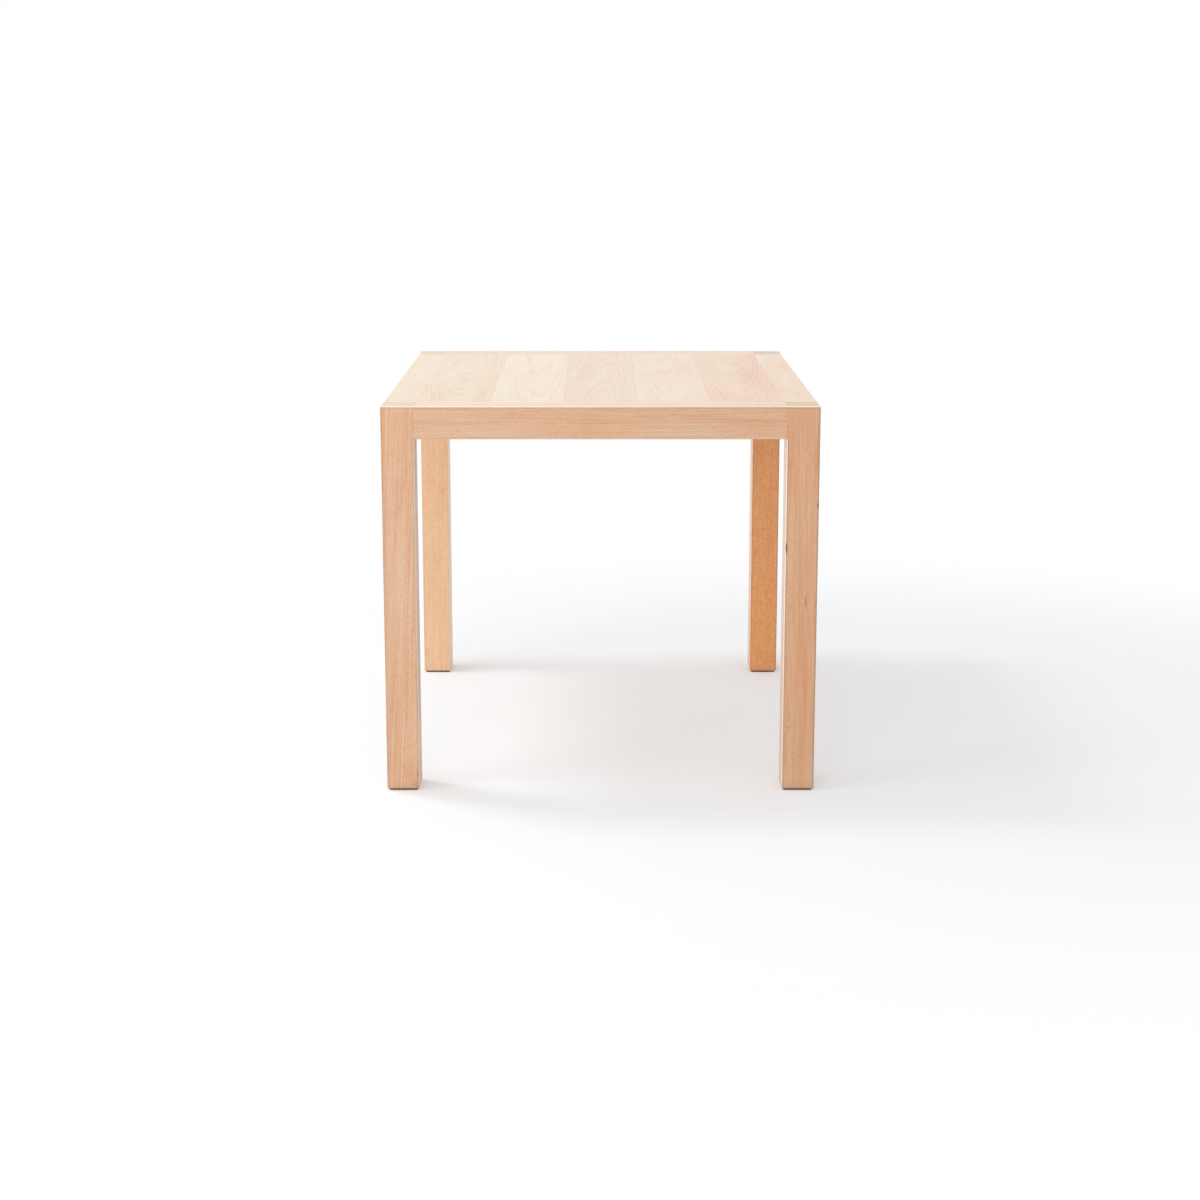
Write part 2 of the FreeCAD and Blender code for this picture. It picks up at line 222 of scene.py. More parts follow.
LAYER_SHIFT = 2.9               # how far each layer lies from the next in depth
THREAD_WIDTH = (0.02, 0.12)     # the noise of a thread's edge: full and gone
MOTTLE_EDGE = (-0.03, 0.25)     # and of a warm patch: gone and full

WAVER = 2.1                     # mm that the rings waver
YEAR_SIZE = (8.0, 2500.0)       # mm across the rings and along the grain over which the years differ
YEAR_SHIFT = 1.6                # in rings
LATE_WOOD_END = (0.88, 1.0)     # the share of a ring where its dark late wood fades
RING_LINE = (0.72, 0.90)        # where the thin line that ends the ring comes up
RING_LINE_END = (0.92, 1.0)     # and fades
LATE_WOOD_SHARE = 0.55          # of the ring's darkness, and the line has the rest
BAND_STRENGTH = (-0.22, 0.18, 0.35, 1.25)       # noise from, to, and the rings' strength from, to
END_RING_GAIN = 0.9             # how much stronger the rings show on end grain

RAY_CELL = (1.25, 5.2, 13.0)    # mm round the heart, along the grain and outwards, for each ray
RAY_EDGE = (0.16, 0.36)         # cells from a ray's middle: full and gone
RAY_CHANCE = (0.35, 0.95)       # the cell's chance number at which its ray is missing and full

STREAK_MIX = {
    "broad": 0.20, "year": 0.18, "narrow": 0.32, "fine": 0.9, "thread": 0.18, "fibre": 0.8, "cloud": 0.55,
}
HUE_MIX = {"cloud": 1.0, "hue": 0.7}
ROUGHNESS_MIX = {"fibre": 0.16, "ring": 0.06, "end": 0.10, "cloud": 0.10}
HEIGHT_MIX = {"fibre": 0.55, "ring": -0.45, "ray": -0.2, "narrow": 0.25}

# what each effect does to red, green and blue
RING_TINT = (-0.48, -0.95, -1.20)
FLECK_TINT = (-0.75, -1.0, -1.05)
MOTTLE_TINT = (-0.06, -0.22, -0.40)
HUE_TINT = (0.10, -0.04, -0.20)
# dark edges: painted shade and dark board seams on arrises, and beside arrises partly handling and partly
# painted shade
DARK_EDGE_TINT = (-0.22, -0.18, -0.14)
MARK_TINT = (-0.52, -0.70, -0.80)
BLUSH_TINT = (-0.03, -0.17, -0.30)
WEAR_AND_HIGHLIGHT_TONE = (0.97, 0.83, 0.69, 1.0)     # an arris worn pale by hands and sanding, and painted highlight on the arrises that face the light


def noise_layers(t, given, across, depth):
    """The layers of noise by name, drawn out along the grain, each in a place of its own."""
    part = {}
    for number, (name, (size_across, size_along, detail)) in enumerate(LAYERS.items(), 1):
        first, each = SEED_SHIFT
        shift = t.mul(given["Seed"], first + each * number)
        along = t.math("DIVIDE", given["Along"], size_along or given["Mottle Length"])
        where = t.vector(
            t.add(t.mul(across, 1 / size_across), shift),
            t.add(t.mul(depth, 1 / size_across), LAYER_SHIFT * number),
            t.add(along, t.mul(shift, SEED_SHIFT_ALONG)),
        )
        part[name] = t.noise(where, detail)
    part["thread"] = t.fade(t.size(part["thread"]), *THREAD_WIDTH)
    part["mottle"] = t.step(part["mottle"], *MOTTLE_EDGE)
    return part


def ring_radius(t, given, part, from_across, from_depth):
    """The distance from the heart, with the wander that a real stem has."""
    return t.total(
        t.length(from_across, from_depth),
        t.mul(part["wander"], given["Wobble"]),
        t.mul(part["waver"], WAVER),
        given["Bulge"],
    )


def growth_rings(t, given, part, radius):
    """How dark the growth rings are, and how the years differ.

    Each ring darkens towards its late wood and ends in a thin line.
    """
    across, along = YEAR_SIZE
    years = t.vector(t.mul(radius, 1 / across), given["Seed"], t.mul(given["Along"], 1 / along))
    year = t.noise(years, 1.0)
    count = t.add(t.math("DIVIDE", radius, given["Ring Width"]), t.mul(year, YEAR_SHIFT))
    share = t.math("FRACT", count)
    late = t.mul(t.mul(share, share), t.fade(share, *LATE_WOOD_END))
    line = t.mul(t.step(share, *RING_LINE), t.fade(share, *RING_LINE_END))
    dark = t.add(t.mul(late, LATE_WOOD_SHARE), t.mul(line, 1 - LATE_WOOD_SHARE))
    return t.mul(dark, t.step(part["band"], *BAND_STRENGTH)), year


def rays(t, given, radius, from_across, from_depth):
    """Thin plates that run out from the heart: dashes on flat sawn faces, flakes on quarter sawn ones."""
    round_heart = t.mul(t.math("ARCTAN2", from_depth, from_across), given["Heart Distance"])
    turn, along, outwards = RAY_CELL
    cell = t.node("TexVoronoi", {"feature": "F1"}, {
        "Vector": t.vector(
            t.mul(round_heart, 1 / turn),
            t.add(t.mul(given["Along"], 1 / along), given["Seed"]),
            t.mul(radius, 1 / outwards),
        ),
        "Scale": 1.0,
    })
    chance = t.split(cell.outputs["Color"])[0]
    return t.mul(t.fade(cell.outputs["Distance"], *RAY_EDGE), t.step(chance, *RAY_CHANCE))


def make_solid_wood():
    """Node group: the colour, roughness and height of a point inside a sawn piece of a log.

    Growth rings are shells round the log's heart, which lies outside the piece and leans a little, so
    flat sawn faces show arches, quarter sawn faces lines, and ends arcs, all joining at the arrises.
    """
    group = bpy.data.node_groups.new("solid_wood", "ShaderNodeTree")
    for name in WOOD_NUMBERS:
        group.interface.new_socket(name, in_out="INPUT", socket_type="NodeSocketFloat")
    for name in WOOD_COLOURS:
        group.interface.new_socket(name, in_out="INPUT", socket_type="NodeSocketColor")
    for name, kind in (("Colour", "Color"), ("Roughness", "Float"), ("Height", "Float")):
        group.interface.new_socket(name, in_out="OUTPUT", socket_type="NodeSocket" + kind)
    t = Tree(group)
    given = group.nodes.new("NodeGroupInput").outputs

    across = t.sub(given["Across"], t.mul(given["Lean Across"], given["Along"]))
    depth = t.sub(given["Depth"], t.mul(given["Lean Depth"], given["Along"]))
    from_across = t.sub(across, given["Heart Across"])
    from_depth = t.sub(depth, given["Heart Depth"])
    part = noise_layers(t, given, across, depth)
    radius = ring_radius(t, given, part, from_across, from_depth)
    part["ring"], part["year"] = growth_rings(t, given, part, radius)
    part["ray"] = rays(t, given, radius, from_across, from_depth)
    part["end"] = given["End"]

    def mixed(weights):
        return t.total(*(t.mul(part[name], weight) for name, weight in weights.items()))

    ring_contrast = t.mul(given["Ring Contrast"], t.add(1.0, t.mul(part["end"], END_RING_GAIN)))
    shade = t.total(
        t.mul(part["ring"], ring_contrast),
        t.mul(mixed(STREAK_MIX), given["Streak Contrast"]),
        t.mul(part["grit"], given["Grit Contrast"]),
    )
    colour = t.mix(part["end"], given["Tone"], given["End Tone"])
    for amount, change in (
        (shade, RING_TINT),
        (t.mul(part["ray"], given["Fleck Contrast"]), FLECK_TINT),
        (t.mul(part["mottle"], given["Mottle"]), MOTTLE_TINT),
        (mixed(HUE_MIX), HUE_TINT),
    ):
        colour = t.tint(colour, amount, change)
    colour = t.mix(given["Pale Edge"], colour, WEAR_AND_HIGHLIGHT_TONE)
    for name, change in (("Dark Edge", DARK_EDGE_TINT), ("Mark", MARK_TINT), ("Blush", BLUSH_TINT)):
        colour = t.tint(colour, given[name], change)

    out = group.nodes.new("NodeGroupOutput").inputs
    t.put(out["Colour"], colour)
    t.put(out["Roughness"], t.add(given["Gloss"], mixed(ROUGHNESS_MIX)))
    t.put(out["Height"], t.add(0.5, mixed(HEIGHT_MIX)))
    return group


solid_wood = make_solid_wood()


# ---------------------------------------------------------------- one piece of wood

# the grain's direction for each kind of piece: (along, across, depth) as axes of the frame
UPRIGHT = (2, 0, 1)
SIDEWAYS = (0, 2, 1)
FRONT_TO_BACK = (1, 0, 2)
BEARER_WAY = (0, 1, 2)

# how far the surface's direction lies along an axis, from 0 to 1, where each of these comes up or fades
FACING = (0.25, 0.50)           # facing one way
ARRIS_SLANT = (0.80, 0.99)      # the largest part: a slanting arris, a flat face
END_SLANT = (0.72, 0.95)        # end grain
MARK_SLANT = (0.5, 0.8)         # the side that a mark is on

# mm from an arris, between which each of these fades
ARRIS_LINE = (1.8, 4.6)         # the dark line beside it, partly handling and partly painted shade
ARRIS_SIDE_HIGHLIGHT = (2.0, 12.0)         # the pale side of a bright arris: painted highlight and sheen
TOP_EDGE_HIGHLIGHT = (4.0, 12.0)           # the painted highlight along the outer side of the top surface

BRIGHT_ARRIS = 0.5                 # an arris paler than this has a painted highlight on its side, and no dark line
RAIL_MIDDLE = (-6.0, 6.0)       # mm across a rail, between which its dark lines come up, on the upper half
JOINT_START = (0.667, 0.671)    # the heights between which the rails' joints on a leg start
INNER_HALF = (0.0, 2.0)         # mm from a leg's middle, between which its inner half starts
FOOT_DARKENING = (0.003, 0.022)      # the heights between which a foot's darkening towards its bottom fades
FOOT_DARKENING_STRENGTH = 0.10
DARKEST_MARK = 1.15
GRAIN_LIFT = 0.06 * MM


class Piece:
    """A wooden node as its material sees it: where a point lies and which way the surface faces there."""

    def __init__(self, t, name, way):
        low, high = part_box(name)
        self.t, self.way = t, way
        self.middle = (low + high) / 2
        self.half = (high - low) / 2 / MM
        coordinates = t.node("TexCoord").outputs
        self.point = t.split(coordinates["Object"])
        self.facing = t.split(coordinates["Normal"])
        self.places = [t.mul(t.sub(self.point[axis], self.middle[axis]), 1 / MM) for axis in way]
        self.along, self.across, self.depth = self.places

        self.flatness = [t.size(part) for part in self.facing]
        x, y, z = self.flatness
        self.on_arris = t.fade(t.larger(x, t.larger(y, z)), *ARRIS_SLANT)
        self.end = t.step(self.flatness[way[0]], *END_SLANT)
        self.upward = self.towards(2, 1)
        self.sideward = (self.towards(0, -1), self.towards(0, 1))

        # mm to the piece's end, and to its nearest long arris
        distances = [t.sub(self.half[axis], t.size(place)) for axis, place in zip(way, self.places)]
        self.to_end = distances[0]
        self.to_arris = t.larger(*distances[1:])

    def towards(self, axis, side):
        """1 where the surface faces that side of the axis."""
        return self.t.step(self.t.mul(self.facing[axis], side), *FACING)

    def hump(self, at_across, at_along, half_width, half_length):
        """A smooth rise to 1 at a place on the piece."""
        t = self.t
        u = t.mul(t.sub(self.across, at_across), 1 / half_width)
        v = t.mul(t.sub(self.along, at_along), 1 / half_length)
        return t.math("EXPONENT", t.mul(t.add(t.mul(u, u), t.mul(v, v)), -1.0))

    def humps(self, places):
        return self.t.total(0.0, *(self.t.mul(self.hump(*place), height) for *place, height in places))


def marks_on(piece, marks):
    """How dark the marks are, and on a leg the darkening towards its foot's bottom."""
    t = piece.t
    strengths = []
    for *place, side, strength in marks:
        on_side = t.step(t.mul(piece.facing[piece.way[2]], side), *MARK_SLANT)
        strengths.append(t.mul(t.mul(piece.hump(*place), on_side), strength))
    if piece.way == UPRIGHT:
        strengths.append(t.mul(t.fade(piece.point[2], *FOOT_DARKENING), FOOT_DARKENING_STRENGTH))
    return t.math("MINIMUM", t.total(0.0, *strengths), DARKEST_MARK)


def on_arrises(piece, amounts):
    """amounts on the arrises that face left, right and up, where they are above 0."""
    t = piece.t
    facings = (*piece.sideward, piece.upward)
    shown = (t.mul(facing, amount) for facing, amount in zip(facings, amounts) if amount > 0)
    return t.mul(piece.on_arris, t.total(0.0, *shown))


def pale_wear_and_highlight(piece, arrises, top_edge_highlight):
    """Wear and painted highlight on the arrises, and painted highlight beside the brightest and along the
    top's outer side.
    """
    t = piece.t
    pale = on_arrises(piece, arrises)
    for sideward, amount in zip(piece.sideward, arrises):
        if amount > BRIGHT_ARRIS:
            side_highlight = t.mul(t.fade(piece.to_arris, *ARRIS_SIDE_HIGHLIGHT), sideward)
            pale = t.larger(pale, t.mul(side_highlight, amount))
    if top_edge_highlight:
        outwards = t.mul(piece.depth, math.copysign(1, piece.middle[1]))
        outer = t.fade(t.sub(piece.half[1], outwards), *TOP_EDGE_HIGHLIGHT)
        pale = t.larger(pale, t.mul(t.mul(outer, piece.upward), top_edge_highlight))
    return pale


def rail_joints(piece):
    """1 beside the flush joints of a leg with its two rails, which aren't open arrises."""
    t = piece.t
    axes = piece.way[1:]
    inwards = [t.mul(place, -math.copysign(1, piece.middle[axis]))
               for axis, place in zip(axes, piece.places[1:])]
    beside = (t.mul(t.step(inward, *INNER_HALF), piece.flatness[other])
              for inward, other in zip(inwards, reversed(axes)))
    return t.mul(t.total(0.0, *beside), t.step(piece.point[2], *JOINT_START))


def dark_arrises_and_shade(piece, arrises, beside):
    """Painted shade on the legs' minus arrises, dark board seams, and the line beside open arrises:
    handling and painted shade.
    """
    t = piece.t
    line = t.fade(piece.to_arris, *ARRIS_LINE)
    for sideward, amount in zip(piece.sideward, arrises):
        if amount > BRIGHT_ARRIS:
            line = t.mul(line, t.rest(sideward))
    if piece.way == UPRIGHT:
        line = t.larger(t.mul(line, t.rest(rail_joints(piece))), t.fade(piece.to_end, *ARRIS_LINE))
    if piece.way == SIDEWAYS:
        line = t.mul(line, t.step(piece.across, *RAIL_MIDDLE))
    line = t.mul(line, t.rest(t.larger(piece.on_arris, piece.upward)))
    return t.add(on_arrises(piece, [-amount for amount in arrises]), t.mul(line, beside))


def wood(name, way, tone, heart, lean=(0.0, 0.0), ring_width=4.5, wobble=6.0, rings=0.14, streaks=0.42,
         grit=0.20, flecks=0.12, mottle=(0.25, 100.0), end_tone=(0.60, 0.42, 0.28), lit_top_tone=None,
         arrises=(0.0, 0.0, 0.85), beside=1.0, top_edge_highlight=0.0, rough=0.32, coat=0.45, gleam=0.5,
         bulges=(), marks=(), blushes=()):
    """Gives a node its own piece of wood.

    tone is the colour of its sides, end_tone that of its end grain and lit_top_tone that of its top, if it
    differs: a paler top that is painted light and sheen. heart is the log's heart (across, depth) in mm
    from the piece's middle, lean its slant in mm per mm, and ring_width and wobble are in mm too. rings,
    streaks, grit and flecks are contrasts, and mottle is (strength, length in mm).

    arrises says how pale, by wear and painted highlight, or with a minus how dark (painted shade on the
    legs, dark seams on the boards), the arrises that face left, right and up are. beside is the strength of
    the dark line next to each one, partly handling and partly painted shade, and top_edge_highlight the
    strength of the painted highlight along the outer side of the top surface. rough, coat and gleam are the
    surface's roughness, coat and shine.

    A bulge of the rings is (across, along, half width, half length, height). A blush ends in its strength
    instead, and a mark in its side, 1 or -1 in depth, and strength. All are in mm from the piece's middle.
    """
    material, t = new_material(name + "_wood")
    piece = Piece(t, name, way)
    sides = (*tone, 1.0)
    # a paler top face: painted light and sheen on it
    if lit_top_tone:
        sides = t.mix(piece.upward, sides, (*lit_top_tone, 1.0))
    made = t.node("Group", {"node_tree": solid_wood}, {
        "Along": piece.along, "Across": piece.across, "Depth": piece.depth,
        "Heart Across": heart[0], "Heart Depth": heart[1], "Heart Distance": math.hypot(*heart),
        "Lean Across": lean[0], "Lean Depth": lean[1], "Ring Width": ring_width, "Wobble": wobble,
        "Seed": float(sum(map(ord, name)) % 97), "Bulge": piece.humps(bulges),
        "Ring Contrast": rings, "Streak Contrast": streaks, "Grit Contrast": grit, "Fleck Contrast": flecks,
        "Mottle": mottle[0], "Mottle Length": mottle[1], "Gloss": rough,
        "Tone": sides, "End Tone": (*end_tone, 1.0), "End": piece.end,
        "Pale Edge": pale_wear_and_highlight(piece, arrises, top_edge_highlight), "Dark Edge": dark_arrises_and_shade(piece, arrises, beside),
        "Mark": marks_on(piece, marks), "Blush": piece.humps(blushes),
    }).outputs
    finish_material(t, made["Colour"], made["Roughness"], made["Height"], GRAIN_LIFT, {
        "IOR": 1.5, "Specular IOR Level": gleam, "Coat Weight": coat, "Coat Roughness": 0.18,
    })
    dress(name, material)


# ---------------------------------------------------------------- the table's wood

# The legs' pale arrises and the outer side of their tops carry painted highlight, and their arrises with a
# minus carry painted shade.
FRONT_LEG = {
    "way": UPRIGHT, "streaks": 0.53, "rings": 0.10, "mottle": (0.26, 420.0), "grit": 0.44, "flecks": 0.20,
    "rough": 0.38, "top_edge_highlight": 0.8,
}
BACK_LEG = {"way": UPRIGHT, "rings": 0.06, "flecks": 0.14, "rough": 0.36, "top_edge_highlight": 0.8}
BOARD = {"way": FRONT_TO_BACK, "streaks": 0.24, "arrises": (-0.3, -0.3, -0.3), "beside": 0.0}

# This leg has no coat, and its end tone is paler partly as its own and partly as painted sheen on its end
# grain.
wood("front_left_leg", tone=(0.704, 0.443, 0.283), end_tone=(0.79, 0.70, 0.60),
     heart=(-150, 60), lean=(0.05, 0.0), arrises=(-1.6, 0.8, 0.9), beside=0.8, coat=0.0, gleam=0.45,
     marks=((29.3, -200, 1.0, 90, -1, 0.45), (27.5, -336, 1.6, 9, -1, 0.55), (24, -356, 8, 9, -1, 0.30)),
     blushes=((-25, 190, 3.5, 200, 0.9), (16, -330, 14, 22, 0.7), (10, -190, 4, 110, 0.5),
              (0, 340, 50, 45, 0.25)),
     **FRONT_LEG)
wood("front_right_leg", tone=(0.672, 0.383, 0.215), end_tone=(0.689, 0.494, 0.29),
     heart=(160, 80), lean=(-0.02, 0.01), arrises=(0.85, -1.6, 0.9), beside=1.3, coat=0.5,
     marks=((9.3, -2, 0.9, 9, -1, 1.5), (28.8, 181, 1.9, 3.0, -1, 2.6), (-28.8, 101, 1.8, 7, -1, 3.0),
            (-19, -242, 6, 1.5, -1, 0.30)),
     blushes=((23, 265, 5, 60, 0.8), (-19, 255, 7, 60, 0.8), (11, -160, 6, 170, 0.7),
              (0, -345, 40, 26, -0.45), (0, 345, 50, 45, 0.22)),
     **FRONT_LEG)
wood("back_right_leg", tone=(0.778, 0.344, 0.120), end_tone=(0.649, 0.448, 0.303),
     heart=(-90, -40), lean=(0.01, 0.03), arrises=(0.45, -0.4, 0.85), coat=0.5,
     streaks=0.40, grit=1.1, mottle=(0.48, 20.0), **BACK_LEG)
wood("back_left_leg", tone=(0.82, 0.548, 0.340), end_tone=(0.74, 0.61, 0.473),
     heart=(120, -60), lean=(0.02, 0.0), arrises=(-0.8, 0.8, 0.85), beside=0.5, coat=0.2, gleam=0.4,
     streaks=0.26, grit=0.42, mottle=(0.40, 34.0), **BACK_LEG)

# The front rail's top has a paler tone, painted light and sheen, and a painted highlight along its front
# edge.
wood("front_rail", SIDEWAYS, tone=(0.683, 0.422, 0.258), lit_top_tone=(0.840, 0.570, 0.325),
     heart=(-160, 60), lean=(0.006, 0.0), streaks=0.52, grit=0.5, mottle=(0.20, 300.0), beside=1.4,
     top_edge_highlight=0.5,
     marks=((7.5, 195, 0.8, 50, -1, 0.30), (5.2, 285, 0.8, 50, -1, 0.26), (-11, 230, 0.7, 60, -1, 0.18),
            (14, -60, 0.7, 70, -1, 0.15)),
     blushes=((0, -290, 60, 150, -0.4), (0, 300, 60, 120, -0.2), (36, -300, 5, 200, -1.1),
              (36, 280, 5, 170, 1.7)))
# The back, left and right rails show mostly their tops. Their tones, paler than the front rail's sides, are
# partly their own and partly painted sheen of the light on the tops.
wood("back_rail", SIDEWAYS, tone=(0.81, 0.543, 0.325), heart=(140, -70), lean=(0.0, 0.01))
wood("left_rail", FRONT_TO_BACK, tone=(0.807, 0.635, 0.431), heart=(-130, -50), lean=(0.01, 0.0),
     streaks=0.30)
wood("right_rail", FRONT_TO_BACK, tone=(0.808, 0.576, 0.356), heart=(120, -60), lean=(0.0, 0.02),
     streaks=0.30, blushes=((13, 113, 10, 70, 0.6),))

# The boards' tones are partly their own and partly painted sheen of the light on the top.
wood("top_board_1", tone=(0.782, 0.598, 0.388), heart=(3, -62.9), lean=(0.01, 0.0), ring_width=5.0,
     rings=0.18, bulges=((3, -57, 400, 180, -12.4),),
     blushes=((3, -62, 10, 46, 1.4), (-36, -250, 20, 120, 0.5), (46, -260, 16, 110, 0.7)), **BOARD)
wood("top_board_2", tone=(0.825, 0.660, 0.460), heart=(6, -95), lean=(-0.01, 0.02), ring_width=5.5,
     wobble=9.0, rings=0.12, **BOARD)
wood("top_board_3", tone=(0.786, 0.581, 0.399), heart=(8, -60), lean=(0.04, -0.03), ring_width=5.0,
     rings=0.14, blushes=((-40, -60, 26, 260, 0.35),), **BOARD)
wood("top_board_4", tone=(0.812, 0.607, 0.408), heart=(-7, -60), lean=(0.0, 0.04), ring_width=5.0,
     rings=0.14, marks=((48, 89, 1.2, 6, 1, 0.5),), **BOARD)
wood("top_board_5", tone=(0.798, 0.546, 0.327), heart=(8, -48), lean=(0.0, 0.05), ring_width=5.0,
     rings=0.26, bulges=((48, -330, 26, 240, 14),),
     blushes=((36, 0, 32, 900, 0.75), (50, 250, 16, 140, 0.5), (22, 60, 14, 120, 0.3),
              (48, -30, 20, 60, 0.4), (-42, -270, 30, 70, 0.35)),
     **BOARD)

wood("front_bearer", BEARER_WAY, tone=(0.73, 0.47, 0.28), heart=(40, 70))
wood("back_bearer", BEARER_WAY, tone=(0.75, 0.48, 0.29), heart=(-60, 50))


# ---------------------------------------------------------------- zinc plated steel

ZINC_PATCH = 2.2                # mm, the size of the plating's bright and dull patches
ZINC_GRIT = 0.25                # mm
ZINC_BRIGHT = (0.56, 0.58, 0.60, 1.0)
ZINC_DULL = (0.64, 0.63, 0.60, 1.0)
ZINC_PATCH_EDGE = (-0.12, 0.12)                 # the noise where a patch is bright and where dull
ZINC_GRIT_TINT = (0.12, 0.12, 0.12)
ZINC_ROUGHNESS = (0.30, 0.18, 0.15)             # plain, and what the patches and the grit add
ZINC_LIFT = 0.02 * MM


def counted(t, size_mm):
    """A point's place, counted in steps of size_mm."""
    return t.scale(t.node("TexCoord").outputs["Object"], 1 / (size_mm * MM))


def speckle(t, size_mm, detail, roughness=0.5):
    """Noise of a size that is the same every way."""
    return t.noise(counted(t, size_mm), detail, roughness)


def zinc_steel(name):
    material, t = new_material(name + "_zinc")
    patch = speckle(t, ZINC_PATCH, 3.0)
    grit = speckle(t, ZINC_GRIT, 2.0)
    colour = t.mix(t.step(patch, *ZINC_PATCH_EDGE), ZINC_BRIGHT, ZINC_DULL)
    colour = t.tint(colour, grit, ZINC_GRIT_TINT)
    plain, by_patch, by_grit = ZINC_ROUGHNESS
    roughness = t.total(plain, t.mul(patch, by_patch), t.mul(grit, by_grit))
    finish_material(t, colour, roughness, t.add(grit, patch), ZINC_LIFT, {"Metallic": 1.0})
    dress(name, material)


zinc_steel("bearer_screws")
zinc_steel("bearer_washers")


# ---------------------------------------------------------------- felt foot pads

FELT_TANGLE = 0.35              # mm, the size of the tangled fibres
FELT_CLUMP = 2.4                # mm
FELT_STRAND = 0.9               # mm, between the strands that show
FELT_DARK = (0.030, 0.014, 0.008, 1.0)
FELT_PALE = (0.090, 0.048, 0.030, 1.0)
FELT_SHADES = (-0.25, 0.3)      # the noise where the felt is dark and where pale
STRAND_EDGE = (0.02, 0.14)      # spacings from a strand: full and gone
STRAND_TINT = (0.30, 0.28, 0.26)
FELT_ROUGHNESS = (0.92, 0.1)    # plain, and what the tangle adds
FELT_HEIGHTS = (1.2, 0.6, 0.5)  # of the tangle, the clumps and the strands
FELT_LIFT = 0.3 * MM

PAD_CORNER = 4.0 * MM
PAD_CORNER_POINTS = 6
PAD_EDGE_POINTS = 34
PAD_SIDE_ROWS = 8
PAD_EDGE_ROUND = 0.75 * MM      # how far the rounded edge pulls in at its top and bottom
PAD_FLAT_RINGS = 7
PAD_FLAT_SPAN = 0.94            # of the pad's half width, which the rings of its flat faces share
PAD_BUMPS = ((0.22, 2.2), (0.12, 0.8))          # mm, the height and size of the edge's unevenness
PAD_PRESSED_IN = 0.12           # mm that the edge is pulled in, to make room for the bumps
PAD_BUMP_SHIFT = 3.1            # how far the bumps' noise moves from pad to pad

FIBRES = 240
FIBRE_ROOT = 0.995              # of the outline, where a fibre starts
FIBRE_HEIGHTS = (0.15, 0.85)    # of the pad's thickness
FIBRE_RISE = 0.6                # the most that a fibre rises or falls, as a share of its length
FIBRE_OUTWARD = 0.7             # and how far it would stand out if it were straight
FIBRE_CURL = 0.5                # the share of that which it loses by its tip
FIBRE_LENGTHS = (0.4, 1.3)      # mm
FIBRE_RADIUS = 0.03 * MM
FIBRE_SPANS = 3
FIBRE_TAPER = 0.7
FIBRE_CORNERS = (0.3, 2.4, 4.5)                 # the angles of its three long edges


def felt_material():
    material, t = new_material("foot_felt")
    tangle = speckle(t, FELT_TANGLE, 4.0, 0.65)
    clump = speckle(t, FELT_CLUMP, 2.0)
    cells = t.node("TexVoronoi", {"feature": "DISTANCE_TO_EDGE"}, {
        "Vector": counted(t, FELT_STRAND), "Scale": 1.0,
    })
    strand = t.fade(cells.outputs[0], *STRAND_EDGE)
    colour = t.mix(t.step(t.add(tangle, clump), *FELT_SHADES), FELT_DARK, FELT_PALE)
    colour = t.tint(colour, strand, STRAND_TINT)
    plain, by_tangle = FELT_ROUGHNESS
    roughness = t.add(plain, t.mul(tangle, by_tangle))
    raised = zip((tangle, clump, strand), FELT_HEIGHTS)
    height = t.total(*(t.mul(part, amount) for part, amount in raised))
    finish_material(t, colour, roughness, height, FELT_LIFT, {
        "Sheen Weight": 0.08, "Sheen Roughness": 0.5, "Specular IOR Level": 0.1,
    })
    return material


def pad_outline(half, inset):
    """The pad's rounded square, pulled in by inset, as points with their outward directions."""
    straight = half - PAD_CORNER
    points = []
    for quarter in range(4):
        start = math.pi / 2 * quarter
        end = start + math.pi / 2
        diagonal = start + math.pi / 4
        centre = Vector((math.cos(diagonal), math.sin(diagonal), 0)) * (straight * math.sqrt(2))
        for i in range(PAD_CORNER_POINTS):
            angle = start + math.pi / 2 * i / (PAD_CORNER_POINTS - 1)
            way = Vector((math.cos(angle), math.sin(angle), 0))
            points.append((centre + way * (PAD_CORNER - inset), way))
        corner = points[-1][0]
        way = Vector((math.cos(end), math.sin(end), 0))
        side = Vector((-math.sin(end), math.cos(end), 0)) * straight * 2
        for i in range(1, PAD_EDGE_POINTS):
            points.append((corner + side * i / PAD_EDGE_POINTS, way))
    return points


def pad_rows(half, thick):
    """Rows of the pad's skin, from the middle of its underside round the edge to the middle of its top.

    Each is (how far it is pulled in, its height, whether it belongs to the edge).
    """
    flat = [PAD_FLAT_SPAN * half * (1 - (i + 1) / (PAD_FLAT_RINGS + 1)) for i in range(PAD_FLAT_RINGS)]
    edge = []
    for i in range(PAD_SIDE_ROWS + 1):
        turn = math.pi * (i / PAD_SIDE_ROWS - 0.5)
        edge.append((PAD_EDGE_ROUND * (1 - math.cos(turn)), thick * (0.5 + 0.5 * math.sin(turn)), True))
    return [(pull, 0.0, False) for pull in flat] + edge + [(pull, thick, False) for pull in reversed(flat)]


